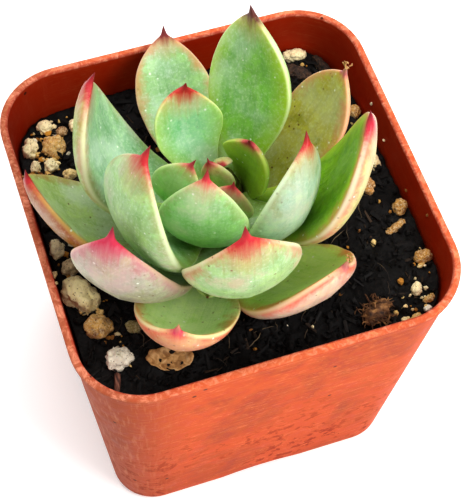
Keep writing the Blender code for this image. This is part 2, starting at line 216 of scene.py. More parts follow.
def blend(start, end, share):
    return start + (end - start) * share


def wall_half(z):
    """Half the outer width of the tapering wall at height z."""
    return blend(FOOT_HALF, TOP_HALF, z / POT_HEIGHT)


def wall_corner(z):
    return blend(FOOT_CORNER, TOP_CORNER, z / POT_HEIGHT)


def arc(middle_out, middle_z, radius, start, end, steps):
    """Points round part of a circle, as distances out from the wall and heights."""
    angles = [math.radians(blend(start, end, step / steps)) for step in range(steps + 1)]
    return [(middle_out + radius * math.cos(angle), middle_z + radius * math.sin(angle))
            for angle in angles]


def square_shell(bm, outline, corner_steps, cuts):
    """Sweep an outline round a square with round corners, and cut its sides up evenly. Each
    point of the outline is a distance out from the pot's wall and a height."""
    points = [bm.verts.new((wall_corner(z) + out, 0, z)) for out, z in outline]
    first = [bm.edges.new(pair) for pair in zip(points, points[1:])]
    spun = bmesh.ops.spin(bm, geom=points + first, cent=(0, 0, 0), axis=(0, 0, 1),
                          angle=math.pi / 2, steps=corner_steps)
    last = [item for item in spun["geom_last"] if isinstance(item, bmesh.types.BMEdge)]
    for vert in bm.verts:
        inset = wall_half(vert.co.z) - wall_corner(vert.co.z)
        vert.co += Vector((inset, inset, 0))
    corner = bm.verts[:] + bm.edges[:] + bm.faces[:]
    ends = [(first, last)]
    for quarter in range(1, 4):
        copy = bmesh.ops.duplicate(bm, geom=corner)
        verts = [item for item in copy["geom"] if isinstance(item, bmesh.types.BMVert)]
        turn = Matrix.Rotation(quarter * math.pi / 2, 3, "Z")
        bmesh.ops.rotate(bm, cent=(0, 0, 0), matrix=turn, verts=verts)
        ends.append([[copy["edge_map"][edge] for edge in end] for end in (first, last)])
    for quarter in range(4):
        side = bmesh.ops.bridge_loops(bm, edges=ends[quarter][1] + ends[(quarter + 1) % 4][0])
        level = [edge for edge in side["edges"]
                 if abs(edge.verts[0].co.z - edge.verts[1].co.z) < 0.001 * MM]
        bmesh.ops.subdivide_edges(bm, edges=level, cuts=cuts)


def new_piece(name, bm, material, slot, *replaced, crease=None):
    """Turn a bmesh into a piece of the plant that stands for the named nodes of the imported
    model. It is shaded smooth, but for edges that bend more than the crease, in degrees."""
    mesh = bpy.data.meshes.new(name)
    bm.to_mesh(mesh)
    bm.free()
    mesh.materials.append(material)
    mesh.shade_smooth()
    if crease:
        mesh.set_sharp_from_angle(angle=math.radians(crease))
    piece = bpy.data.objects.new(name, mesh)
    bpy.context.scene.collection.objects.link(piece)
    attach(piece, "root")
    if replaced:
        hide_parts(*replaced)
    return piece


lip_foot = POT_HEIGHT - LIP_HEIGHT
outline = arc(-FOOT_ROUND, FOOT_ROUND, FOOT_ROUND, -90, 0, 5)
outline += [(0, 3 * MM), (0, lip_foot * 0.5), (0, lip_foot - 1.5 * MM), (0, lip_foot)]
outline += arc(LIP_OVERHANG - LIP_ROUND / 2, lip_foot + LIP_ROUND, LIP_ROUND / 2, -60, 0, 3)
outline += arc(LIP_OVERHANG - LIP_ROUND, POT_HEIGHT - LIP_ROUND, LIP_ROUND, 0, 90, 4)
outline += arc(-WALL + LIP_ROUND, POT_HEIGHT - LIP_ROUND, LIP_ROUND, 90, 180, 4)
outline += [(-WALL, POT_HEIGHT - 2 * MM), (-WALL, POT_HEIGHT * 0.5), (-WALL, 6 * MM)]
outline += arc(-WALL - FLOOR_FILLET, FLOOR + FLOOR_FILLET, FLOOR_FILLET, 0, -90, 4)
bm = bmesh.new()
square_shell(bm, outline, CORNER_STEPS, WALL_CUTS)
bmesh.ops.remove_doubles(bm, verts=bm.verts, dist=0.005 * MM)
bmesh.ops.holes_fill(bm, edges=[edge for edge in bm.edges if edge.is_boundary], sides=0)
bmesh.ops.recalc_face_normals(bm, faces=bm.faces)

# The inside of the shell is marked, because only that side is painted darker, as painted shade
inner_face = bm.verts.layers.float.new("inside")
for vert in bm.verts:
    corner = wall_corner(vert.co.z)
    straight = wall_half(vert.co.z) - corner
    past = Vector([max(0.0, abs(at) - straight) for at in vert.co.xy])
    vert[inner_face] = float(corner - past.length > 0.6 * WALL and vert.co.z > FLOOR / 2)

# Polypropylene: satin, with fine scratches that run round the pot from handling, dull dusty
# patches and splashes of mix on the walls, and a pale line along the lip that is partly
# scuffed plastic and partly a painted highlight.
plastic = new_material("terracotta polypropylene")
place = add_node(plastic, "TexCoord").outputs["Object"]
scratch_grid = (1 / SCRATCH_LENGTH, 1 / SCRATCH_LENGTH, 1 / SCRATCH_PITCH)
drawn = add_node(plastic, "Mapping", place, Scale=scratch_grid)
scratches = add_node(plastic, "TexNoise", drawn, Scale=1.0, Detail=3.0, Roughness=0.6,
                     Distortion=0.3)
patches = add_node(plastic, "TexNoise", place, Scale=1 / (15 * MM), Detail=6.0, Roughness=0.62,
                   Distortion=0.6)
smears = add_node(plastic, "TexNoise", place, Scale=1 / SPLASH, Detail=8.0, Roughness=0.7,
                  Distortion=0.5)
runs = add_node(plastic, "Mapping", place, Scale=(1 / RUN_WIDTH, 1 / RUN_WIDTH, 1 / (12 * MM)))
runs = add_node(plastic, "TexNoise", runs, Scale=1.0, Detail=5.0, Roughness=0.65)

# Its colour varies a little in broad patches, hazed over by dust and crossed by the scratches
colour = add_node(plastic, "ValToRGB", patches,
                  stops=((0.32, TERRACOTTA_DEEP), (0.5, TERRACOTTA), (0.72, TERRACOTTA_FRESH)))
haze = add_node(plastic, "MapRange", smears, 0.42, 0.62, 0.0, 0.22)
colour = add_node(plastic, "MixRGB", haze, colour, TERRACOTTA_SCUFFED)
line = add_node(plastic, "Math", scratches, 0.5, operation="SUBTRACT")
line = add_node(plastic, "Math", line, operation="ABSOLUTE")
line = add_node(plastic, "MapRange", line, 0.012, 0.002, 0.0, 0.45)
colour = add_node(plastic, "MixRGB", line, colour, TERRACOTTA_SCUFFED)

# Splashes of wet mix have stained the foot of the walls rust-brown
across, _, height = add_node(plastic, "SeparateXYZ", place).outputs
low_down = add_node(plastic, "MapRange", height, 0.75 * POT_HEIGHT, 0.2 * POT_HEIGHT, 0.03, 0.95)
clustered = add_node(plastic, "MapRange", patches, 0.42, 0.52, 0.25, 1.0)
low_down = add_node(plastic, "Math", low_down, clustered, operation="MULTIPLY")
shade = add_node(plastic, "MapRange", smears, 0.53, 0.58, 0.0, 1.0)
shade = add_node(plastic, "Math", shade, low_down, operation="MULTIPLY")
colour = add_node(plastic, "MixRGB", shade, colour, POTTING_STAIN)

# The left wall is painted darker, as painted shade, and water has dried in pale runs down it
left_wall_shade = add_node(plastic, "MapRange", across, -15 * MM, -27 * MM, 0.0, 0.7)
colour = add_node(plastic, "MixRGB", left_wall_shade, colour, LEFT_WALL_SHADE)
run = add_node(plastic, "MapRange", runs, 0.52, 0.66, 0.0, 0.35)
run = add_node(plastic, "Math", run, left_wall_shade, operation="MULTIPLY")
colour = add_node(plastic, "MixRGB", run, colour, DRIED_RUN)

# Inside, painted shade darkens it. The lip is pale, partly from scuffs and partly as a painted
# highlight, and there are specks of mix on it
inside = add_node(plastic, "Attribute", attribute_name="inside").outputs["Fac"]
inside_shade = add_node(plastic, "MapRange", patches, 0.35, 0.65, 0.75, 1.0)
inside_shade = add_node(plastic, "Math", inside_shade, inside, operation="MULTIPLY")
colour = add_node(plastic, "MixRGB", inside_shade, colour, TERRACOTTA_SHADED_INSIDE)
near_lip = add_node(plastic, "MapRange", height, POT_HEIGHT - 0.5 * MM, POT_HEIGHT - 0.25 * MM,
                    0.0, 1.0)
worn = add_node(plastic, "TexNoise", place, Scale=1 / (1.6 * MM), Detail=6.0, Roughness=0.75,
                Distortion=1.0)
# Pale along the top of the lip: partly scuffs, partly a painted highlight
lip_scuff_and_highlight = add_node(plastic, "MapRange", worn, 0.46, 0.66, 0.15, 0.75)
lip_scuff_and_highlight = add_node(plastic, "Math", near_lip, lip_scuff_and_highlight, operation="MULTIPLY")
colour = add_node(plastic, "MixRGB", lip_scuff_and_highlight, colour, LIP_SCUFF_AND_HIGHLIGHT)
specks = add_node(plastic, "TexVoronoi", place, Scale=1 / SPECK_PITCH, Randomness=1.0)
speck = add_node(plastic, "MapRange", specks.outputs["Distance"], 0.075, 0.055, 0.0, 0.85)
colour = add_node(plastic, "MixRGB", speck, colour, SPECK)

dull = add_node(plastic, "MapRange", smears, 0.35, 0.7, 0.42, 0.68)
relief = add_node(plastic, "Math", line, 0.6, operation="MULTIPLY")
relief = add_node(plastic, "Math", relief, lip_scuff_and_highlight, operation="ADD")
relief = add_node(plastic, "Bump", Strength=0.25, Distance=0.06 * MM, Height=relief)
surface(plastic, add_node(plastic, "BsdfPrincipled", Base_Color=colour, Roughness=dull, IOR=1.49,
                          Specular_IOR_Level=0.1, Normal=relief))

pot = new_piece("nursery_pot", bm, plastic, "terracotta_plastic", "pot")


def cut_away(piece, bm):
    """Cut a closed shape out of a piece."""
    mesh = bpy.data.meshes.new("cutter")
    bmesh.ops.recalc_face_normals(bm, faces=bm.faces)
    bm.to_mesh(mesh)
    bm.free()
    cutter = bpy.data.objects.new("cutter", mesh)
    bpy.context.scene.collection.objects.link(cutter)
    cut = piece.modifiers.new("cut", "BOOLEAN")
    cut.solver = "EXACT"
    cut.object = cutter
    whole = piece.data
    depsgraph = bpy.context.evaluated_depsgraph_get()
    piece.data = bpy.data.meshes.new_from_object(piece.evaluated_get(depsgraph))
    piece.data.name = piece.name
    piece.modifiers.clear()
    bpy.data.objects.remove(cutter)
    bpy.data.meshes.remove(whole)


holes = bmesh.new()
for quarter in range(4):
    angle = (quarter + 0.5) * math.pi / 2
    centre = Matrix.Translation((DRAIN_OFFSET * math.cos(angle), DRAIN_OFFSET * math.sin(angle), 0))
    bmesh.ops.create_cone(holes, cap_ends=True, segments=40, radius1=DRAIN_RADIUS, radius2=DRAIN_RADIUS,
                          depth=6 * FLOOR, matrix=centre)
cut_away(pot, holes)

# The arches: part of a wide cylinder that lies across the foot of each wall
arch_radius = ((ARCH_WIDTH / 2) ** 2 + ARCH_RISE**2) / (2 * ARCH_RISE)
arches = bmesh.new()
for side in range(4):
    lying = Matrix.Rotation(side * math.pi / 2, 4, "Z") @ Matrix.Translation(
        (0, -FOOT_HALF, ARCH_RISE - arch_radius)) @ Matrix.Rotation(math.pi / 2, 4, "X")
    bmesh.ops.create_cone(arches, cap_ends=True, segments=180, radius1=arch_radius, radius2=arch_radius,
                          depth=10 * MM, matrix=lying)
cut_away(pot, arches)
pot.data.shade_smooth()
pot.data.set_sharp_from_angle(angle=POT_CREASE)


# ---------------------------------------------------------------- leaves
# Twenty plump, waxy leaves in a spiral round the stem, grown one after another from the
# outermost and lowest to the buds in the middle. Each is a thick pointed blade: hollow
# and green on the inner face, rounded and paler outside, with a stiff red point.

# Heading is the compass direction a leaf sets out in, anticlockwise from +X, and sway how far
# it bends sideways by its tip. Rise is its slope at the stem and at the tip, curl how late it
# turns up, tilt how far the blade rolls over, and cup how deep its hollow is. In degrees and mm.
LEAVES = (
    # name, heading, sway, rise at foot, rise at tip, curl, length, width, tilt, cup
    ("leaf_front_low", -124, 4, 3, 98, 1.9, 38.5, 16.0, 6, 0.40),
    ("leaf_far_left", -179, -15, -5, 87, 1.2, 38.5, 16.0, 14, 0.20),
    ("leaf_front_right_low", -82, 25, -5, 96, 1.2, 34.0, 19.0, 13, 0.15),
    ("leaf_back_right", 15, 1, 21, 78, 1.0, 30.5, 13.0, -8, 0.10),
    ("leaf_back_left", 100, -17, -5, 43, 0.9, 30.5, 13.0, -19, 0.20),
    ("leaf_front_tucked", -116, 0, 2, 45, 0.9, 22.0, 6.0, 0, 0.10),
    ("leaf_core_right", -5, -6, 77, 99, 0.7, 18.5, 10.0, 45, 0.25),
    ("leaf_front_left", -143, -3, -5, 115, 1.2, 45.5, 16.5, 22, 0.25),
    ("leaf_right", -44, 12, 16, 99, 0.8, 40.0, 20.0, 15, 0.05),
    ("leaf_front", -101, -4, 6, 106, 1.0, 45.0, 18.0, 8, 0.30),
    ("leaf_left", 167, -20, 6, 115, 1.1, 37.5, 18.5, -12, 0.05),
    ("leaf_back", 49, 17, 49, 71, 2.0, 30.0, 16.0, -39, 0.05),
    ("leaf_left_inner", -149, 2, 3, 121, 0.9, 45.5, 18.0, -27, 0.15),
    ("leaf_right_inner", -76, 16, -4, 123, 0.7, 36.0, 15.0, 33, 0.30),
    ("leaf_back_inner", 123, -19, 29, 89, 0.9, 19.0, 11.5, -40, 0.30),
    ("leaf_front_inner", -122, 0, 14, 122, 1.1, 34.5, 13.5, 9, 0.20),
    ("leaf_core_left", -155, 14, 17, 122, 1.0, 26.0, 9.0, 25, 0.05),
    ("leaf_bud_front", -110, 6, 19, 108, 1.0, 19.0, 8.0, -22, 0.05),
    ("leaf_bud_right", 121, 40, 78, 122, 0.4, 9.0, 4.0, -16, 0.20),
    ("leaf_bud_back", -115, -24, 60, 111, 2.0, 13.5, 5.0, -5, 0.10),
)
LOWEST_LEAF = 52.6 * MM
LEAF_STEP = 0.55 * MM
STEM_NECK = 52.0 * MM
STEM_TOP = 64.0 * MM
STEM_RADIUS = 3.4 * MM
STEM_TIP_RADIUS = 1.1 * MM
GAP = 0.3 * MM
LEAF_RIB = 0.6 * MM
LEAF_PLUMPNESS = 0.12
LEAF_FULLNESS = 0.8
LEAF_AROUND = 44
LEAF_RINGS = 60
# The blunt shoulder ends at this share of a leaf's length. The point on it has a width and a
# length, as shares of the leaf's own, and a stiff spine inside.
SHOULDER_END = 0.95
POINT_WIDTH = 0.22
POINT_LENGTH = 0.16
SPINE_LENGTH = 2.4 * MM
SPINE_RADIUS = 0.36 * MM
# A blade is flatter on its inner face, where a groove runs down the middle, and keeled outside.
# The keel and the groove have a height and a breadth, which is a share of the half width.
INNER_BELLY = 0.45
KEEL_HEIGHT, KEEL_BREADTH = 0.3 * MM, 0.16
GROOVE_DEPTH, GROOVE_BREADTH = 0.25 * MM, 0.3
UNEVENNESS = 0.22 * MM
RED_NARROWING = 1.3

# Colours that all leaves share
SUNLIT_FLECK = "#E4EFC4"
SOAKED_FLECK = "#4C7A26"
VEIN = "#3F6A22"
SHADED_FOOT = "#7E9C3A"
LIME = "#B4D030"
NONE_OUTSIDE = "#000000"
BLOOM = "#D8E8DA"
POWDER = "#EAF2DC"
CORK = "#6B4A22"
DUST_AND_DROPLET_GLINT = "#F2F6EA"
LIVE_SPINE = "#5A0A14"
DRY_SCAR = "#B99468"

# The finish of each leaf: its colours, how many mm the red of its point runs down, and the
# strengths of its sun blush, freckles, lime zone inside the margin and dusty bloom. A dry
# point is a brown scar instead of a live red spine.
FINISHES = {
    # name: inner face, outer face, margin, blush, point, red reach, blush, freckles, lime, bloom, dry
    "leaf_back": ("#7DB452", "#A9CB84", "#E6F0BC", "#C9A055", "#5E0A12", 5.5, 0.1, 0.15, 0.8, 0.7, 0),
    "leaf_back_left": ("#96BF86", "#A9BE7E", "#E2BC98", "#DA8A62", "#7A101C", 5.0, 0.6, 0.3, 0.2, 1.0, 0),
    "leaf_left": ("#8CB68C", "#A2BA66", "#DCDCB0", "#D87A68", "#B8152C", 7.5, 0.35, 0.3, 0.25, 1.0, 0),
    "leaf_back_inner": ("#9AD0A2", "#A8D08C", "#DFECA4", "#D98A5A", "#C01C22", 5.5, 0.1, 0.15, 0.55, 1.0, 0),
    "leaf_back_right": ("#B8AE48", "#A8A050", "#EBB892", "#D88A60", "#B8506A", 3.0, 0.65, 1.0, 0.0, 0.5, 1),
    "leaf_right": ("#74A818", "#D2C68A", "#EBDCBC", "#E07A6C", "#C41C3C", 6.8, 0.65, 0.35, 0.9, 0.15, 0),
    "leaf_right_inner": ("#A3C78A", "#B0C8AE", "#DDEBCC", "#C89A3C", "#C01424", 6.2, 0.3, 0.35, 0.35, 1.0, 0),
    "leaf_front_right_low": ("#C8E884", "#D8B8A2", "#EECCA6", "#E2684C", "#B8506A",
                             3.2, 0.75, 0.6, 0.6, 0.3, 1),
    "leaf_front_low": ("#CCE69A", "#DE9E78", "#EFE2AA", "#E0603C", "#D02858", 4.0, 0.65, 0.8, 0.3, 0.3, 1),
    "leaf_front": ("#8FB86A", "#A2C284", "#DEDCB6", "#DA684A", "#C4102A", 8.0, 0.5, 0.8, 0.3, 0.9, 0),
    "leaf_front_left": ("#86A860", "#AEA890", "#DCBCA4", "#CE6A7C", "#C4244A", 8.5, 0.5, 0.9, 0.2, 0.9, 0),
    "leaf_left_inner": ("#93BF78", "#9CC07E", "#DFE8BE", "#C87A5A", "#C01828", 7.2, 0.25, 0.4, 0.5, 0.9, 0),
    "leaf_far_left": ("#B6D088", "#9C6224", "#D0A45A", "#BC562C", "#B81C2C", 5.5, 0.5, 1.0, 0.2, 1.0, 0),
    "leaf_front_inner": ("#8CC080", "#9CCE86", "#D3EBAE", "#E08A70", "#D42E42", 4.5, 0.18, 0.2, 0.6, 1.0, 0),
    "leaf_core_right": ("#9CC232", "#9CB84E", "#CAD870", "#D07A70", "#C83A50", 3.4, 0.15, 0.3, 0.6, 0.1, 0),
    "leaf_core_left": ("#90C46A", "#98CC74", "#CFE09C", "#D08A70", "#CC3E54", 3.4, 0.2, 0.2, 0.5, 0.5, 0),
    "leaf_bud_front": ("#86A85A", "#9DB070", "#C8C88C", "#D08070", "#CA2A40", 3.4, 0.5, 0.2, 0.2, 0.5, 0),
    "leaf_bud_right": ("#8CAA58", "#AAB86E", "#D8D2A4", "#D07868", "#B82430", 2.4, 0.4, 0.2, 0.2, 0.5, 0),
    "leaf_bud_back": ("#8CAC5E", "#A4B86E", "#D2D29C", "#D07868", "#C42C3C", 2.6, 0.4, 0.2, 0.2, 0.5, 0),
    "leaf_front_tucked": ("#78A63E", "#86AC50", "#D6E49C", "#C8A060", "#C04848", 1.0, 0.1, 0.2, 0.6, 0.4, 0),
}


def stem_radius(z):
    if z <= STEM_NECK:
        return STEM_RADIUS
    return blend(STEM_RADIUS, STEM_TIP_RADIUS, (z - STEM_NECK) / (STEM_TOP - STEM_NECK))


def swell(share, foot, widest, shoulder, point):
    """Breadth along a leaf, 1 at its widest place and 0 at its tip."""
    if share < widest:
        return foot + (1 - foot) * math.sin(math.pi / 2 * share / widest) ** 1.6
    return (1 - min(1.0, (share - widest) / (1 - widest)) ** shoulder) ** point


def leaf_outline(share):
    """Width of a blade along its length, 1 at its widest: a full shoulder, then a short point."""
    body = swell(share / SHOULDER_END, 0.28, 0.6, 2.4, 0.85)
    point = POINT_WIDTH * min(1.0, (1 - share) / POINT_LENGTH)
    return (body**3 + point**3) ** (1 / 3)


def rounded(wave):
    """Fuller version of a sine or cosine, so that a section through a leaf has thick margins."""
    return math.copysign(abs(wave) ** LEAF_FULLNESS, wave)


class Leaf:
    """The blade of one leaf: a curved middle line with a cupped, plump section along it."""

    def __init__(self, heading, sway, rise_foot, rise_tip, curl, length, width, tilt, cup, height):
        self.heading = math.radians(heading)
        self.sway = math.radians(sway)
        self.rise_foot = math.radians(rise_foot)
        self.rise_tip = math.radians(rise_tip)
        self.curl = curl
        self.length = length * MM
        self.half_width = width / 2 * MM
        self.tilt = math.radians(tilt)
        self.cup = cup
        self.plump = LEAF_PLUMPNESS * width * MM + LEAF_RIB
        reach = stem_radius(height) + GAP
        self.foot = Vector((reach * math.cos(self.heading), reach * math.sin(self.heading), height))

    def frame(self, share):
        """Unit vectors along the middle line and across the blade, before the blade's own tilt."""
        rise = blend(self.rise_foot, self.rise_tip, share**self.curl)
        flat = math.cos(rise)
        out = Vector((flat * math.cos(self.heading), flat * math.sin(self.heading), math.sin(rise)))
        side = Vector((-math.sin(self.heading), math.cos(self.heading), 0))
        turn = self.sway * share
        along = out * math.cos(turn) + side * math.sin(turn)
        return along, side * math.cos(turn) - out * math.sin(turn)

    def middle(self, share, steps=24):
        """A point on the middle line, found by walking along it from the foot."""
        stride = share / steps
        walk = sum((self.frame((step + 0.5) * stride)[0] for step in range(steps)), Vector())
        return self.foot + walk * stride * self.length

    def half_breadth(self, share):
        """Half the blade's width, which never gets thinner than the spine at the tip."""
        spine = SPINE_RADIUS * min(1.0, (1 - share) * self.length / SPINE_LENGTH)
        return math.hypot(self.half_width * leaf_outline(share), spine)


def leaf_mesh(leaf, seed):
    """A ball of rings and poles, drawn out into the blade: its poles are the foot and the tip.
    Each vertex keeps where it is on the blade, and how far from the margin and the tip, because
    the skin's colours follow them."""
    bm = bmesh.new()
    blade = bm.verts.layers.float_vector.new("blade")
    margin = bm.verts.layers.float_vector.new("margin")
    bmesh.ops.create_uvsphere(bm, u_segments=LEAF_AROUND, v_segments=LEAF_RINGS, radius=1.0)
    places = {}
    for ring in range(LEAF_RINGS + 1):
        even = ring / LEAF_RINGS
        share = even - 0.1 * math.sin(2 * math.pi * even)
        along, across = leaf.frame(share)
        across = Matrix.Rotation(leaf.tilt * share, 3, along) @ across
        places[ring] = (share, leaf.middle(share), across, along.cross(across))
    for vert in bm.verts:
        ring = round(math.acos(max(-1.0, min(1.0, -vert.co.z))) / math.pi * LEAF_RINGS)
        share, middle, across, inward = places[ring]
        angle = math.atan2(vert.co.y, vert.co.x)
        end = ring in (0, LEAF_RINGS)
        round_it = 0.0 if end else rounded(math.sin(angle))
        breadth = leaf.half_breadth(share)
        side = 0.0 if end else breadth * rounded(math.cos(angle))
        uneven = noise.noise(Vector((side * 90, share * 5, seed)))
        side *= 1 + 0.03 * noise.noise(Vector((math.copysign(3, side), share * 7, seed)))
        belly = INNER_BELLY if round_it > 0 else 1.0
        spine = SPINE_RADIUS * min(1.0, (1 - share) * leaf.length / SPINE_LENGTH)
        thick = math.hypot(leaf.plump * swell(share, 0.45, 0.42, 2.4, 0.95) * belly, spine * 0.8)
        rise = thick * round_it
        rise += leaf.cup * side**2 / leaf.half_width
        thin_out = swell(share, 0.3, 0.5, 2.0, 1.0)
        if round_it < 0:
            keel = math.exp(-(side / (KEEL_BREADTH * leaf.half_width)) ** 2)
            rise -= KEEL_HEIGHT * keel * thin_out * share
        elif not end:
            groove = math.exp(-(side / (GROOVE_BREADTH * leaf.half_width)) ** 2)
            rise -= GROOVE_DEPTH * groove * thin_out
        rise += UNEVENNESS * uneven * thin_out * abs(round_it)
        vert.co = middle + across * side + inward * rise
        vert[blade] = (side, share * leaf.length, 0.5 - 0.5 * round_it)
        to_tip = math.hypot((1 - share) * leaf.length, RED_NARROWING * side)
        vert[margin] = (breadth - abs(side) + abs(thick * round_it), to_tip, share)
    bmesh.ops.recalc_face_normals(bm, faces=bm.faces)
    return bm


def leaf_skin(name, inner, outer, margin_colour, blush_colour, tip_colour, red_reach, blush,
              freckles, lime, bloom, dry):
    """Living leaf skin: waxy and slightly see-through, with a dusty bloom, pale swollen margins,
    a sun blush that spreads from the margins, fine lengthwise veins and a red point."""
    skin = new_material(name)
    place = add_node(skin, "TexCoord").outputs["Object"]
    blade = add_node(skin, "Attribute", attribute_name="blade").outputs["Vector"]
    outside = add_node(skin, "SeparateXYZ", blade).outputs["Z"]
    margin = add_node(skin, "Attribute", attribute_name="margin").outputs["Vector"]
    from_edge, from_tip, share = add_node(skin, "SeparateXYZ", margin).outputs

    mottle = add_node(skin, "TexNoise", place, Scale=1 / (3.2 * MM), Detail=8.0, Roughness=0.68,
                      Distortion=0.4)
    fine = add_node(skin, "TexNoise", place, Scale=1 / (0.5 * MM), Detail=4.0, Roughness=0.65)
    veins = add_node(skin, "Mapping", blade, Scale=(1 / (0.8 * MM), 1 / (12 * MM), 1))
    veins = add_node(skin, "TexNoise", veins, Scale=1.0, Detail=6.0, Roughness=0.66)
    cloud = add_node(skin, "TexNoise", place, Scale=1 / (8 * MM), Detail=7.0, Roughness=0.62)

    # Body: the inner face is greener, the outer face paler under its bloom
    facing = add_node(skin, "MapRange", outside, 0.42, 0.62, 0.0, 1.0)
    colour = add_node(skin, "MixRGB", facing, inner, outer)
    lighter = add_node(skin, "MapRange", mottle, 0.48, 0.62, 0.0, 0.55)
    colour = add_node(skin, "MixRGB", lighter, colour, SUNLIT_FLECK, blend_type="SOFT_LIGHT")
    soaked = add_node(skin, "MapRange", mottle, 0.46, 0.34, 0.0, 0.5)
    colour = add_node(skin, "MixRGB", soaked, colour, SOAKED_FLECK, blend_type="SOFT_LIGHT")
    darker = add_node(skin, "MapRange", veins, 0.5, 0.32, 0.0, 0.4)
    colour = add_node(skin, "MixRGB", darker, colour, VEIN, blend_type="SOFT_LIGHT")
    # The foot of each leaf is painted darker, as painted shade
    foot = add_node(skin, "MapRange", share, 0.42, 0.1, 0.0, 0.55)
    colour = add_node(skin, "MixRGB", foot, colour, SHADED_FOOT)
    sunlit = add_node(skin, "MapRange", from_edge, 4.6 * MM, 0.4 * MM, 0.0, lime)
    sunlit = add_node(skin, "MixRGB", facing, sunlit, NONE_OUTSIDE)
    colour = add_node(skin, "MixRGB", sunlit, colour, LIME)
    dusting = add_node(skin, "MapRange", cloud, 0.46, 0.62, 0.0, 0.4 * bloom)
    colour = add_node(skin, "MixRGB", dusting, colour, BLOOM)
    powder = add_node(skin, "MapRange", fine, 0.5, 0.72, 0.0, 0.08 + 0.24 * bloom)
    colour = add_node(skin, "MixRGB", powder, colour, POWDER)

    # Margin: a thin pale line, and a patchy blush inside it that fades through the veins
    waver = add_node(skin, "Math", mottle, 9 * MM, -4.5 * MM, operation="MULTIPLY_ADD")
    soft_edge = add_node(skin, "Math", from_edge, waver, operation="ADD")
    reach = add_node(skin, "MapRange", share, 0.2, 0.75, 0.2, 1.0)
    glow = add_node(skin, "MapRange", soft_edge, 2.6 * MM, 0.3 * MM, 0.0, blush)
    glow = add_node(skin, "Math", glow, reach, operation="MULTIPLY")
    colour = add_node(skin, "MixRGB", glow, colour, blush_colour)
    sunned = add_node(skin, "MapRange", cloud, 0.5, 0.62, 0.0, 0.6 * blush)
    sunned = add_node(skin, "Math", sunned, facing, operation="MULTIPLY")
    colour = add_node(skin, "MixRGB", sunned, colour, blush_colour)
    band = add_node(skin, "MapRange", from_edge, 0.75 * MM, 0.15 * MM, 0.0, 0.8)
    colour = add_node(skin, "MixRGB", band, colour, margin_colour)

    # Freckles of cork, thickest where the sun has caught the blade, and white dots that are partly
    # dust and partly painted glints of water drops
    dot = add_node(skin, "TexVoronoi", place, Scale=1 / (1.5 * MM), Randomness=1.0)
    dot = add_node(skin, "MapRange", dot.outputs["Distance"], 0.16, 0.08, 0.0, 1.0)
    scatter = add_node(skin, "MapRange", cloud, 0.62, 0.42, 0.0, freckles)
    dot = add_node(skin, "Math", dot, scatter, operation="MULTIPLY")
    colour = add_node(skin, "MixRGB", dot, colour, CORK)
    # White dots: partly dust, partly painted glints of water drops
    dust_and_glints = add_node(skin, "TexVoronoi", place, Scale=1 / (2.3 * MM), Randomness=1.0)
    dust_and_glints = add_node(skin, "MapRange", dust_and_glints.outputs["Distance"], 0.1, 0.06, 0.0, 0.7)
    colour = add_node(skin, "MixRGB", dust_and_glints, colour, DUST_AND_DROPLET_GLINT)

    # Point: red spreads from the spine down the veins, and a little further along the margins
    ragged = add_node(skin, "Math", veins, 0.8 * red_reach, -0.4 * red_reach, operation="MULTIPLY_ADD")
    down = add_node(skin, "Math", from_tip, ragged, operation="ADD")
    beside = add_node(skin, "MapRange", from_edge, 1.4 * MM, 0.0, 0.0, 0.2 * red_reach)
    down = add_node(skin, "Math", down, beside, operation="SUBTRACT")
    pink = add_node(skin, "MapRange", down, 1.25 * red_reach, 0.5 * red_reach, 0.0, 0.55)
    colour = add_node(skin, "MixRGB", pink, colour, blush_colour)
    red = add_node(skin, "MapRange", down, 0.75 * red_reach, 0.3 * red_reach, 0.0, 0.95)
    colour = add_node(skin, "MixRGB", red, colour, tip_colour)
    spine = add_node(skin, "MapRange", from_tip, 2.0 * MM, 0.4 * MM, 0.0, 0.75)
    colour = add_node(skin, "MixRGB", spine, colour, DRY_SCAR if dry else LIVE_SPINE)

    gloss = add_node(skin, "MapRange", cloud, 0.42, 0.64, 0.34, 0.58)
    relief = add_node(skin, "Math", veins, 2.0, mottle, operation="MULTIPLY_ADD")
    relief = add_node(skin, "Math", relief, fine, operation="ADD")
    relief = add_node(skin, "Bump", Strength=0.35, Distance=0.12 * MM, Height=relief)
    surface(skin, add_node(skin, "BsdfPrincipled", Base_Color=colour, Roughness=gloss, IOR=1.42,
                           Normal=relief, Subsurface_Weight=0.22, Subsurface_Scale=1.2 * MM,
                           Subsurface_Radius=(0.9, 1.2, 0.4)))
    return skin


leaf_ends = {}
for order, (name, *shape) in enumerate(LEAVES):
    leaf = Leaf(*shape, LOWEST_LEAF + order * LEAF_STEP)
    *colours, red_reach, blush, freckles, lime, bloom, dry = FINISHES[name]
    skin = leaf_skin(name + "_skin", *colours, red_reach * MM, blush, freckles, lime, bloom, dry)
    new_piece("green_" + name, leaf_mesh(leaf, order), skin, "leaf", name)
    leaf_ends[name] = leaf.middle(1.0)


# ---------------------------------------------------------------- potting mix
# Damp peat-based mix, pressed in by hand to about 8 mm under the lip. It is nearly black,
# with shreds of composted bark and fine crumbs loose on top.

MIX_LEVEL = 51.0 * MM
MIX_GAP = 0.3 * MM
MIX_GRID = 190
SHREDS = 2000
TORN = 0.16
CRUMBS = 1500
CLEAR_OF_STEM = 7 * MM
FOOT_TAPER = 0.97
# Heaped at the right wall, sunk at the plant and in the two back corners
MOUNDS = (
    # rise, x, y and reach in mm
    (2.0, 30, -14, 14),
    (-0.6, 0, 0, 16),
    (-1.5, 31, 26, 9),
    (-1.2, -22, 28, 12),
)

PEAT_WET = "#080605"
PEAT = "#0E0B09"
PEAT_DRY = "#2A2019"
SHRED_WET = "#0C0A09"
SHRED = "#100D0B"
SHRED_GREY = "#1A1918"
SHRED_WORN = "#241E19"
SHRED_DRY = "#4A3828"


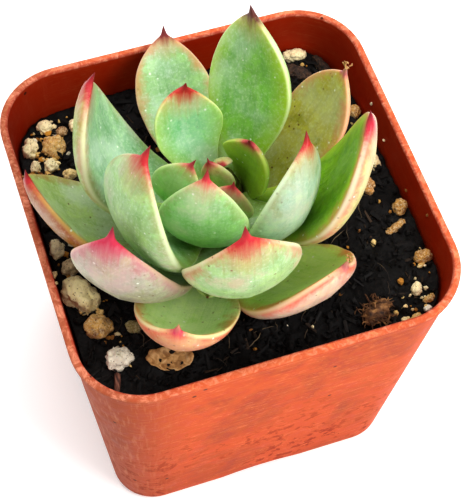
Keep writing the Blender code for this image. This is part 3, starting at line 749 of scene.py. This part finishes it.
def mix_height(x, y):
    """Level of the potting mix: its mounds and hollows, uneven away from the plant."""
    level = MIX_LEVEL
    for rise, middle_x, middle_y, reach in MOUNDS:
        away = math.hypot(x - middle_x * MM, y - middle_y * MM) / (reach * MM)
        level += rise * MM * math.exp(-away**2)
    uneven = min(1.0, max(0.0, (math.hypot(x, y) - 12 * MM) / (8 * MM)))
    return level + uneven * 0.7 * MM * noise.noise(Vector((x, y, 0)) / (4.5 * MM))


def mix_half(z):
    return wall_half(z) - WALL - MIX_GAP


bm = bmesh.new()
rim_half = mix_half(MIX_LEVEL - 1 * MM)
rim_corner = wall_corner(MIX_LEVEL) - WALL - MIX_GAP
bmesh.ops.create_grid(bm, x_segments=MIX_GRID, y_segments=MIX_GRID, size=rim_half)
for vert in bm.verts:
    # Each square ring of the grid takes round corners, in proportion to its size
    reach = max(abs(vert.co.x), abs(vert.co.y))
    straight = reach * (1 - rim_corner / rim_half)
    past_x, past_y = abs(vert.co.x) - straight, abs(vert.co.y) - straight
    if past_x > 0 and past_y > 0:
        pull = max(past_x, past_y) / math.hypot(past_x, past_y)
        vert.co.x = math.copysign(straight + past_x * pull, vert.co.x)
        vert.co.y = math.copysign(straight + past_y * pull, vert.co.y)
    spot = Vector((vert.co.x, vert.co.y, 0))
    vert.co.z = mix_height(vert.co.x, vert.co.y)
    vert.co.z += 0.5 * MM * noise.fractal(spot / (1.8 * MM), 0.9, 2.1, 4)
    vert.co.z -= 0.5 * MM * max(0.0, noise.noise(spot / (2.6 * MM) + Vector((7, 3, 1))))
rim = [edge for edge in bm.edges if edge.is_boundary]
sides = bmesh.ops.extrude_edge_only(bm, edges=rim)["geom"]
foot_z = FLOOR + MIX_GAP
for vert in (item for item in sides if isinstance(item, bmesh.types.BMVert)):
    vert.co.x *= mix_half(foot_z) / rim_half * FOOT_TAPER
    vert.co.y *= mix_half(foot_z) / rim_half * FOOT_TAPER
    vert.co.z = foot_z
bmesh.ops.holes_fill(bm, edges=[edge for edge in bm.edges if edge.is_boundary], sides=0)
bmesh.ops.recalc_face_normals(bm, faces=bm.faces)

# Peat: damp, so the crumbs are dark with a few drier, browner ones, and they barely shine
peat = new_material("damp peat mix")
place = add_node(peat, "TexCoord").outputs["Object"]
grain = add_node(peat, "TexNoise", place, Scale=1 / (0.9 * MM), Detail=6.0, Roughness=0.75)
damp = add_node(peat, "TexNoise", place, Scale=1 / (8 * MM), Detail=3.0)
colour = add_node(peat, "ValToRGB", grain, stops=((0.35, PEAT_WET), (0.55, PEAT), (0.75, PEAT_DRY)))
gloss = add_node(peat, "MapRange", damp, 0.4, 0.6, 0.55, 0.9)
relief = add_node(peat, "Bump", Strength=0.8, Distance=0.3 * MM, Height=grain)
surface(peat, add_node(peat, "BsdfPrincipled", Base_Color=colour, Roughness=gloss, IOR=1.33,
                       Normal=relief))
new_piece("potting_mix_bed", bm, peat, "potting_mix", "potting_mix")


def scatter(rng, reach, count=3):
    """A vector whose parts are each drawn evenly, within the reach either way."""
    return Vector([rng.uniform(-reach, reach) for _ in range(count)])


def inside_rim(spot, inset):
    """Whether a spot on the mix is inside the pot's round corners, with an inset to spare."""
    past = Vector([max(0.0, abs(part) - rim_half + rim_corner) for part in spot])
    return past.length < rim_corner - inset


def on_mix(rng, inset):
    """A place on the mix, drawn evenly, clear of the stem and inside the pot's round corners."""
    while True:
        spot = scatter(rng, rim_half - inset, 2)
        if inside_rim(spot, inset) and spot.length > CLEAR_OF_STEM:
            return spot


def lay(bm, shape, x, y, height, turn, tip_up, size):
    """Place a small shape, made around the origin, at a height on the mix."""
    matrix = (Matrix.Translation((x, y, height)) @ Matrix.Rotation(turn, 4, "Z")
              @ Matrix.Rotation(tip_up, 4, "Y") @ Matrix.Diagonal((*size, 1)))
    bmesh.ops.transform(bm, matrix=matrix, verts=shape)


# Shreds of composted bark: flat splinters with torn ends, half a millimetre to three
# millimetres long. Each has a tone of its own, from wet black to a few that are dry and brown
rng = random.Random(5)
bm = bmesh.new()
tone = bm.verts.layers.float.new("tone")
for _ in range(SHREDS):
    x, y = on_mix(rng, 1.2 * MM)
    length = rng.uniform(0.4, 1.1) * rng.choice((1, 1, 1.6, 2.6)) * MM
    shape = bmesh.ops.create_cone(bm, cap_ends=True, segments=5, radius1=0.5,
                                  radius2=rng.uniform(0.25, 0.5), depth=2.0)["verts"]
    shade = rng.random()
    for vert in shape:
        vert.co = Vector((vert.co.z / 2, vert.co.x, vert.co.y)) + scatter(rng, TORN)
        vert[tone] = shade
    lay(bm, shape, x, y, mix_height(x, y) + rng.uniform(0.0, 0.5) * MM, rng.uniform(0, 6.28),
        rng.gauss(0, 0.28), (length, length * rng.uniform(0.12, 0.4), rng.uniform(0.2, 0.45) * MM))
bark_shred = new_material("composted bark shreds")
place = add_node(bark_shred, "TexCoord").outputs["Object"]
shade = add_node(bark_shred, "Attribute", attribute_name="tone").outputs["Fac"]
weathered = add_node(bark_shred, "TexNoise", place, Scale=1 / (0.6 * MM), Detail=4.0, Roughness=0.7)
colour = add_node(bark_shred, "ValToRGB", shade,
                  stops=((0.0, SHRED_WET), (0.55, SHRED), (0.85, SHRED_GREY), (1.0, SHRED_DRY)))
worn = add_node(bark_shred, "MapRange", weathered, 0.4, 0.7, 0.0, 0.4)
colour = add_node(bark_shred, "MixRGB", worn, colour, SHRED_WORN)
relief = add_node(bark_shred, "Bump", Strength=0.6, Distance=0.12 * MM, Height=weathered)
surface(bark_shred, add_node(bark_shred, "BsdfPrincipled", Base_Color=colour, Roughness=0.72,
                             Specular_IOR_Level=0.25, Normal=relief))
new_piece("mix_bark_shreds", bm, bark_shred, "potting_mix", crease=30)

# Crumbs of peat between them
bm = bmesh.new()
for _ in range(CRUMBS):
    x, y = on_mix(rng, 0.8 * MM)
    size = rng.uniform(0.25, 0.6) * rng.choice((1, 1, 1.7)) * MM
    shape = bmesh.ops.create_icosphere(bm, subdivisions=1, radius=1.0)["verts"]
    for vert in shape:
        vert.co *= rng.uniform(0.75, 1.2)
    lay(bm, shape, x, y, mix_height(x, y) + rng.uniform(-0.2, 0.4) * MM, rng.uniform(0, 6.28),
        rng.uniform(0, 3), (size, size * rng.uniform(0.6, 1), size * rng.uniform(0.5, 0.9)))
new_piece("mix_crumbs", bm, peat, "potting_mix", crease=30)


# ---------------------------------------------------------------- stem
# The short, corky stem that the leaves grow from. Hardly any of it shows between them.


def plant_surface(name, stops, pitch, roughness, relief=None, depth=None, **pattern):
    """A dull, dry plant surface. One noise, with a pitch in mm along each axis, gives it its
    colours and, where it is rough enough to see, its relief."""
    material = new_material(name)
    place = add_node(material, "TexCoord").outputs["Object"]
    place = add_node(material, "Mapping", place, Scale=[1 / (part * MM) for part in pitch])
    grain = add_node(material, "TexNoise", place, Scale=1.0, **pattern)
    colour = add_node(material, "ValToRGB", grain, stops=stops)
    if relief:
        relief = add_node(material, "Bump", Strength=relief, Distance=depth * MM, Height=grain)
    surface(material, add_node(material, "BsdfPrincipled", Base_Color=colour, Roughness=roughness,
                               Normal=relief))
    return material


# Bark that is still green under a thin cork, ringed by the scars of fallen leaves
stem_wood = plant_surface("corky green stem", ((0.35, "#5A4A26"), (0.6, "#8A8A46"), (0.8, "#B0A670")),
                          (3, 3, 0.6), 0.7, relief=0.6, depth=0.2, Detail=5.0)


def from_node(name, cuts, smooth=1.0):
    """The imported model's own shape of a node, welded and cut finer, to be worked on."""
    bm = bmesh.new()
    bm.from_mesh(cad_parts[name].data)
    bmesh.ops.remove_doubles(bm, verts=bm.verts, dist=0.01 * MM)
    bmesh.ops.subdivide_edges(bm, edges=bm.edges, cuts=cuts, use_grid_fill=True, smooth=smooth)
    return bm


bm = from_node("stem", 3)
for vert in bm.verts:
    if vert.co.z > STEM_NECK:
        outwards = Vector((vert.co.x, vert.co.y, 0)).normalized()
        vert.co += 0.15 * MM * noise.noise(vert.co / (1.1 * MM)) * outwards
new_piece("leafy_stem", bm, stem_wood, "stem", "stem")


# ---------------------------------------------------------------- pumice and perlite
# Grains of sieved pumice that top the mix, loose and dusty, and one popped grain of perlite.
# They are crushed rock, so each is angular with open pores, cream where it is freshly
# broken and ochre where iron has stained it.

CREAM, OCHRE, BUFF, WHITE = "#FFEFBE", "#D29430", "#EBCB84", "#FBF5E0"
GRAINS = {
    # node: main colour, stain, how much of it is stained, how uneven it is
    "pumice_back_left_1": (CREAM, OCHRE, 0.15, 0.8),
    "pumice_back_left_2": ("#DDAF5E", "#B97C2A", 0.5, 1.0),
    "pumice_back_left_3": (CREAM, OCHRE, 0.1, 1.3),
    "pumice_back_left_4": ("#B98A54", "#6E4424", 0.5, 0.8),
    "pumice_back_left_5": (CREAM, OCHRE, 0.2, 1.0),
    "pumice_left_1": (CREAM, OCHRE, 0.2, 1.5),
    "pumice_left_2": (BUFF, OCHRE, 0.2, 1.2),
    "pumice_left_3": (CREAM, OCHRE, 0.2, 1.0),
    "pumice_left_4": (CREAM, "#8A5A30", 0.3, 1.0),
    "pumice_left_5": (CREAM, "#7E4E2A", 0.35, 1.1),
    "pumice_left_6": ("#E6CF9C", "#6E4A2A", 0.4, 1.2),
    "pumice_block": ("#FFF2B4", "#D6BC62", 0.25, 1.2),
    "pumice_front_left_1": ("#DDAE58", "#7A4A22", 0.45, 1.0),
    "pumice_front_left_2": ("#A89A5A", "#6E5E2E", 0.5, 0.9),
    "pumice_back_right": (CREAM, OCHRE, 0.15, 1.0),
    "pumice_right_1": ("#CF9A48", "#A0702A", 0.5, 1.0),
    "pumice_right_2": (CREAM, OCHRE, 0.25, 1.0),
    "pumice_right_3": ("#C0863A", "#8E5A22", 0.5, 1.3),
    "pumice_right_4": ("#C99238", "#8A5A20", 0.5, 1.2),
    "pumice_right_5": ("#BE8A3C", "#8A5A20", 0.5, 1.4),
    "pumice_right_6": ("#C08A34", "#8A5A20", 0.45, 1.0),
    "pumice_front_right_1": (CREAM, OCHRE, 0.1, 0.9),
    "pumice_front_right_2": ("#C79A4A", "#8A6028", 0.4, 1.0),
    "pumice_front_right_3": (WHITE, OCHRE, 0.1, 0.8),
    "pumice_front_right_4": ("#D8B068", OCHRE, 0.35, 0.9),
    "perlite_front_left": (WHITE, "#8E8A5A", 0.15, 1.5),
}
FRESH_DUST = "#FDEFC8"
PORE_SHADE = "#5C3A1E"
PORE = 0.55 * MM
SPREAD = 0.2 * MM


def extent(node):
    """Low corner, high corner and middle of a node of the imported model."""
    low, high = (Vector(corner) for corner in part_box(node))
    return low, high, (low + high) / 2


def grain_rock(name, body, stain, stained):
    """Crushed volcanic rock: matte, dusty, pitted with small pores that are painted dark, as painted shade.
    """
    rock = new_material(name)
    place = add_node(rock, "TexCoord").outputs["Object"]
    broad = add_node(rock, "TexNoise", place, Scale=1 / (1.6 * MM), Detail=5.0, Roughness=0.65)
    fine = add_node(rock, "TexNoise", place, Scale=1 / (0.3 * MM), Detail=4.0, Roughness=0.7)
    pores = add_node(rock, "TexVoronoi", place, Scale=1 / PORE, Randomness=1.0).outputs["Distance"]
    stain_from = 0.62 - 0.3 * stained
    stain_here = add_node(rock, "MapRange", broad, stain_from, stain_from + 0.18, 0.0, 0.9)
    colour = add_node(rock, "MixRGB", stain_here, body, stain)
    lighter = add_node(rock, "MapRange", fine, 0.45, 0.65, 0.0, 0.55)
    colour = add_node(rock, "MixRGB", lighter, colour, FRESH_DUST)
    # The pores are painted dark, as painted shade
    hollow = add_node(rock, "MapRange", pores, 0.24, 0.1, 0.0, 0.75)
    colour = add_node(rock, "MixRGB", hollow, colour, PORE_SHADE)
    relief = add_node(rock, "Math", fine, pores, operation="ADD")
    relief = add_node(rock, "Bump", Strength=0.7, Distance=0.16 * MM, Height=relief)
    surface(rock, add_node(rock, "BsdfPrincipled", Base_Color=colour, Roughness=0.88, IOR=1.5,
                           Normal=relief))
    return rock


for number, (node, (body, stain, stained, uneven)) in enumerate(GRAINS.items()):
    low, high, middle = extent(node)
    girth = min(high - low)
    bm = from_node(node, 3)
    bm.normal_update()
    moved = {}
    for vert in bm.verts:
        spot = (vert.co - middle) / girth + Vector((number * 3.1, 0, 0))
        facet = noise.cell(spot * 1.9)
        dent = 0.5 * noise.noise(spot * 1.7) + 0.35 * noise.noise(spot * 3.9) - 0.12 * facet
        pit = max(0.0, noise.noise(spot * 8.0 + Vector((4, 4, 4))) - 0.18)
        moved[vert] = vert.normal * girth * uneven * (0.26 * dent - 0.22 * pit)
    for vert, step in moved.items():
        vert.co += step
        for axis in (0, 1):
            vert.co[axis] = min(max(vert.co[axis], low[axis] - SPREAD), high[axis] + SPREAD)
    slot = "perlite" if node.startswith("perlite") else "pumice"
    new_piece("grain_" + node, bm, grain_rock(node + "_rock", body, stain, stained), slot, node,
              crease=50)


# ---------------------------------------------------------------- bark, twig, coir and dead leaf
# Bits of the mix that lie on top of it: two chips of composted bark, a snapped twig, a tangle
# of coconut fibre and the papery husk of the plant's lowest leaf, dried where it stood.

WRINKLE_SEED = 7
HUSK_REACH = 3.4 * MM
CLUMP_TURN = math.radians(27)
COIR_STRANDS = 150
ROOTLETS = 110

# Composted bark: corky and matte, nearly black where it is damp
bark = plant_surface("dark bark", ((0.35, "#120C09"), (0.5, "#3A281C"), (0.72, "#6E4C34")), (0.9, 0.9, 0.9),
                     0.82, relief=0.9, depth=0.25, Detail=6.0, Roughness=0.7, Distortion=1.2)
for node in ("bark_chip_1", "bark_chip_2"):
    bm = from_node(node, 3)
    bm.normal_update()
    moved = {}
    for vert in bm.verts:
        rough = 0.5 * noise.noise(vert.co / (1.3 * MM)) + 0.25 * noise.noise(vert.co / (0.5 * MM))
        moved[vert] = vert.normal * MM * rough
    for vert, step in moved.items():
        vert.co += step
    new_piece("flake_" + node, bm, bark, "bark", node, crease=40)

# Young bark, dried: red-brown, with lengthwise ridges that are paler on top
twig_bark = plant_surface("red-brown twig bark", ((0.35, "#3A2019"), (0.55, "#7A4A38"), (0.75, "#A57A62")),
                          (0.25, 2.5, 0.25), 0.75, relief=0.7, depth=0.12, Detail=4.0)
noise.seed_set(WRINKLE_SEED)
bm = from_node("twig", 3, smooth=0.0)
for vert in bm.verts:
    vert.co += 0.12 * MM * noise.noise_vector(vert.co / (0.9 * MM))
new_piece("snapped_twig", bm, twig_bark, "bark", "twig", crease=50)

# Dead leaf skin: thin, tan and papery, with fine wrinkles
husk_paper = plant_surface("dried leaf husk", ((0.35, "#9A6A38"), (0.55, "#CFA064"), (0.75, "#EBCB98")),
                           (1.2, 1.2, 1.2), 0.6, relief=0.7, depth=0.2, Detail=5.0, Distortion=1.0)
bm = from_node("dried_leaf", 3)
middle = extent("dried_leaf")[2]
for vert in bm.verts:
    # Shrivelled flat, with its rim curled up towards the leaf above it
    away = vert.co - middle
    rim = min(1.0, away.xy.length / HUSK_REACH)
    crumple = 0.35 * MM * noise.noise(vert.co / (1.3 * MM))
    vert.co.z = middle.z + away.z * 0.3 + 1.0 * MM * rim**3 + crumple
    vert.co.x = middle.x + away.x * 0.92 + 0.3 * MM * noise.noise(vert.co / (0.9 * MM))
new_piece("dead_leaf_husk", bm, husk_paper, "dried_leaf", "dried_leaf", crease=50)


def fibres(name, strands):
    """Thin round fibres, thinner towards both ends, as one mesh. Each is a list of points and a
    thickness."""
    curve = bpy.data.curves.new(name, "CURVE")
    curve.dimensions = "3D"
    curve.bevel_depth = 0.5
    curve.bevel_resolution = 0
    curve.use_fill_caps = True
    for points, thickness in strands:
        spline = curve.splines.new("POLY")
        spline.points.add(len(points) - 1)
        for number, (point, place) in enumerate(zip(spline.points, points)):
            point.co = (*place, 1)
            point.radius = thickness * (1 - 0.6 * abs(2 * number / (len(points) - 1) - 1) ** 3)
    drawn = bpy.data.objects.new(name, curve)
    bpy.context.scene.collection.objects.link(drawn)
    bm = bmesh.new()
    depsgraph = bpy.context.evaluated_depsgraph_get()
    bm.from_mesh(bpy.data.meshes.new_from_object(drawn.evaluated_get(depsgraph)))
    bpy.data.objects.remove(drawn)
    return bm


def wander(rng, start, turn, length, steps, lift, wobble):
    """Points along a fibre that lies loosely on the mix."""
    points = [start.copy()]
    for step in range(1, steps + 1):
        turn += rng.gauss(0, wobble)
        here = points[-1] + Vector((math.cos(turn), math.sin(turn), 0)) * length / steps
        here.z = start.z + lift * math.sin(math.pi * step / steps) + rng.uniform(-0.08, 0.08) * MM
        points.append(here)
    return points


# Coconut husk fibre: hard and brown, straw-coloured where it is frayed
coir_fibre = plant_surface("coconut fibre", ((0.35, "#2E1A0E"), (0.52, "#6A4526"), (0.72, "#A87C4A")),
                           (1.1, 1.1, 1.1), 0.78, Detail=3.0)
middle = extent("coir_clump")[2]
along_clump = Matrix.Rotation(CLUMP_TURN, 3, "Z")
rng = random.Random(11)
strands = []
for _ in range(COIR_STRANDS):
    across = rng.uniform(-1.4, 1.4) * MM
    start = middle + along_clump @ Vector((rng.uniform(-2.8, 1.2) * MM, across, 0))
    start.z = middle.z + rng.uniform(-0.4, 0.9) * MM * (1 - abs(across) / (1.8 * MM))
    strands.append((wander(rng, start, CLUMP_TURN + rng.gauss(0, 0.9), rng.uniform(1.2, 3.0) * MM, 6,
                           rng.uniform(0.0, 0.5) * MM, 0.6), rng.uniform(0.16, 0.34) * MM))
new_piece("coir_tangle", fibres("coir_tangle", strands), coir_fibre, "coir", crease=60)
bm = from_node("coir_clump", 2)
for vert in bm.verts:
    vert.co = middle + (vert.co - middle) * 0.85 + 0.35 * MM * noise.noise_vector(vert.co / (0.8 * MM))
new_piece("coir_core", bm, coir_fibre, "coir", "coir_clump", crease=40)

# Fine roots and fibres strewn over the mix: brown when damp, greyer and paler as they dry
root_fibre = plant_surface("dry rootlets", ((0.35, "#1C1612"), (0.5, "#4A3C2E"), (0.7, "#8A7656")),
                           (3.0, 3.0, 3.0), 0.8, Detail=3.0)
strands = []
for _ in range(ROOTLETS):
    x, y = on_mix(rng, 5 * MM)
    start = Vector((x, y, mix_height(x, y) + 0.5 * MM))
    strands.append((wander(rng, start, rng.uniform(0, 6.28), rng.uniform(1.5, 5) * MM, 8,
                           rng.uniform(0, 0.7) * MM, 0.35), rng.uniform(0.08, 0.18) * MM))
new_piece("mix_rootlets", fibres("mix_rootlets", strands), root_fibre, "potting_mix", crease=60)


# ---------------------------------------------------------------- pumice crumbs
# Broken corners and dust of the pumice: swept against the left wall in drifts between the
# larger grains, scattered over the mix, and a few that stuck to the damp walls.

DRIFTS = (
    # x, y and reach in mm, and count
    (-26.0, 19.0, 5.0, 46),
    (-23.5, 25.5, 4.5, 26),
    (-27.5, 0.0, 3.2, 22),
    (-26.0, -9.0, 4.0, 16),
    (-23.5, -15.5, 4.0, 20),
    (27.5, -19.0, 3.0, 12),
    (25.0, -25.5, 3.0, 14),
    (27.5, 8.0, 4.5, 14),
    (23.0, 26.0, 4.5, 8),
    (0.0, 0.0, 26.0, 60),
)
STUCK = 16
IRON_BROWN = "#8E5E2C"
PIT_SHADE = "#6E4A26"

# Crushed pumice: the same matte, dusty rock as the grains, in every shade from stained to fresh
crumb_rock = new_material("pumice crumbs")
place = add_node(crumb_rock, "TexCoord").outputs["Object"]
shade = add_node(crumb_rock, "Attribute", attribute_name="tone").outputs["Fac"]
fine = add_node(crumb_rock, "TexNoise", place, Scale=1 / (0.25 * MM), Detail=4.0, Roughness=0.7)
colour = add_node(crumb_rock, "ValToRGB", shade,
                  stops=((0.0, IRON_BROWN), (0.35, OCHRE), (0.6, BUFF), (0.85, CREAM), (1.0, WHITE)))
# The pits of each crumb are painted dark, as painted shade
pits = add_node(crumb_rock, "MapRange", fine, 0.45, 0.32, 0.0, 0.5)
colour = add_node(crumb_rock, "MixRGB", pits, colour, PIT_SHADE)
relief = add_node(crumb_rock, "Bump", Strength=0.6, Distance=0.1 * MM, Height=fine)
surface(crumb_rock, add_node(crumb_rock, "BsdfPrincipled", Base_Color=colour, Roughness=0.88,
                             IOR=1.5, Normal=relief))

rng = random.Random(23)
bm = bmesh.new()
tone = bm.verts.layers.float.new("tone")
spots = []
for x, y, reach, count in DRIFTS:
    while count:
        at = Vector((x + rng.gauss(0, reach / 2), y + rng.gauss(0, reach / 2))) * MM
        if inside_rim(at, 0.8 * MM) and at.length > 2 * CLEAR_OF_STEM:
            spots.append((at.x, at.y, mix_height(at.x, at.y) + 0.25 * MM))
            count -= 1
for _ in range(STUCK):
    side = rng.randrange(4)
    z = rng.uniform(MIX_LEVEL + 1.5 * MM, POT_HEIGHT - 1.5 * MM)
    along = rng.uniform(-0.6, 0.6) * rim_half
    turn = Matrix.Rotation(side * math.pi / 2, 2)
    spots.append((*(turn @ Vector((wall_half(z) - WALL - 0.1 * MM, along))), z))
for x, y, z in spots:
    size = rng.choice((0.25, 0.3, 0.4, 0.5, 0.75)) * rng.uniform(0.8, 1.2) * MM
    if z > MIX_LEVEL + 3 * MM:
        size = min(size, 0.35 * MM)
    shape = bmesh.ops.create_icosphere(bm, subdivisions=1, radius=1.0)["verts"]
    shade = rng.random()
    for vert in shape:
        vert.co *= rng.uniform(0.7, 1.2)
        vert[tone] = shade
    lay(bm, shape, x, y, z, rng.uniform(0, 6.28), rng.uniform(0, 3),
        (size, size * rng.uniform(0.6, 1), size * rng.uniform(0.6, 0.95)))
new_piece("pumice_crumbs", bm, crumb_rock, "pumice", crease=30)


# ---------------------------------------------------------------- withered points
# On two of the older leaves the live point has withered to a frayed tuft of dry, papery skin,
# up to two millimetres long.

WITHERED = ("leaf_back_right", "leaf_front_right_low")
TUFT = 7

rng = random.Random(31)
strands = []
for name in WITHERED:
    for _ in range(TUFT):
        start = leaf_ends[name] + scatter(rng, 0.3) * MM
        reach = (scatter(rng, 0.7) + Vector((0, 0, 0.6))) * rng.uniform(0.5, 1.3) * MM
        bend = scatter(rng, 0.25) * MM
        strands.append(([start, start + reach * 0.5 + bend, start + reach], rng.uniform(0.3, 0.55) * MM))
new_piece("withered_points", fibres("withered_points", strands), husk_paper, "dried_leaf",
          crease=60)
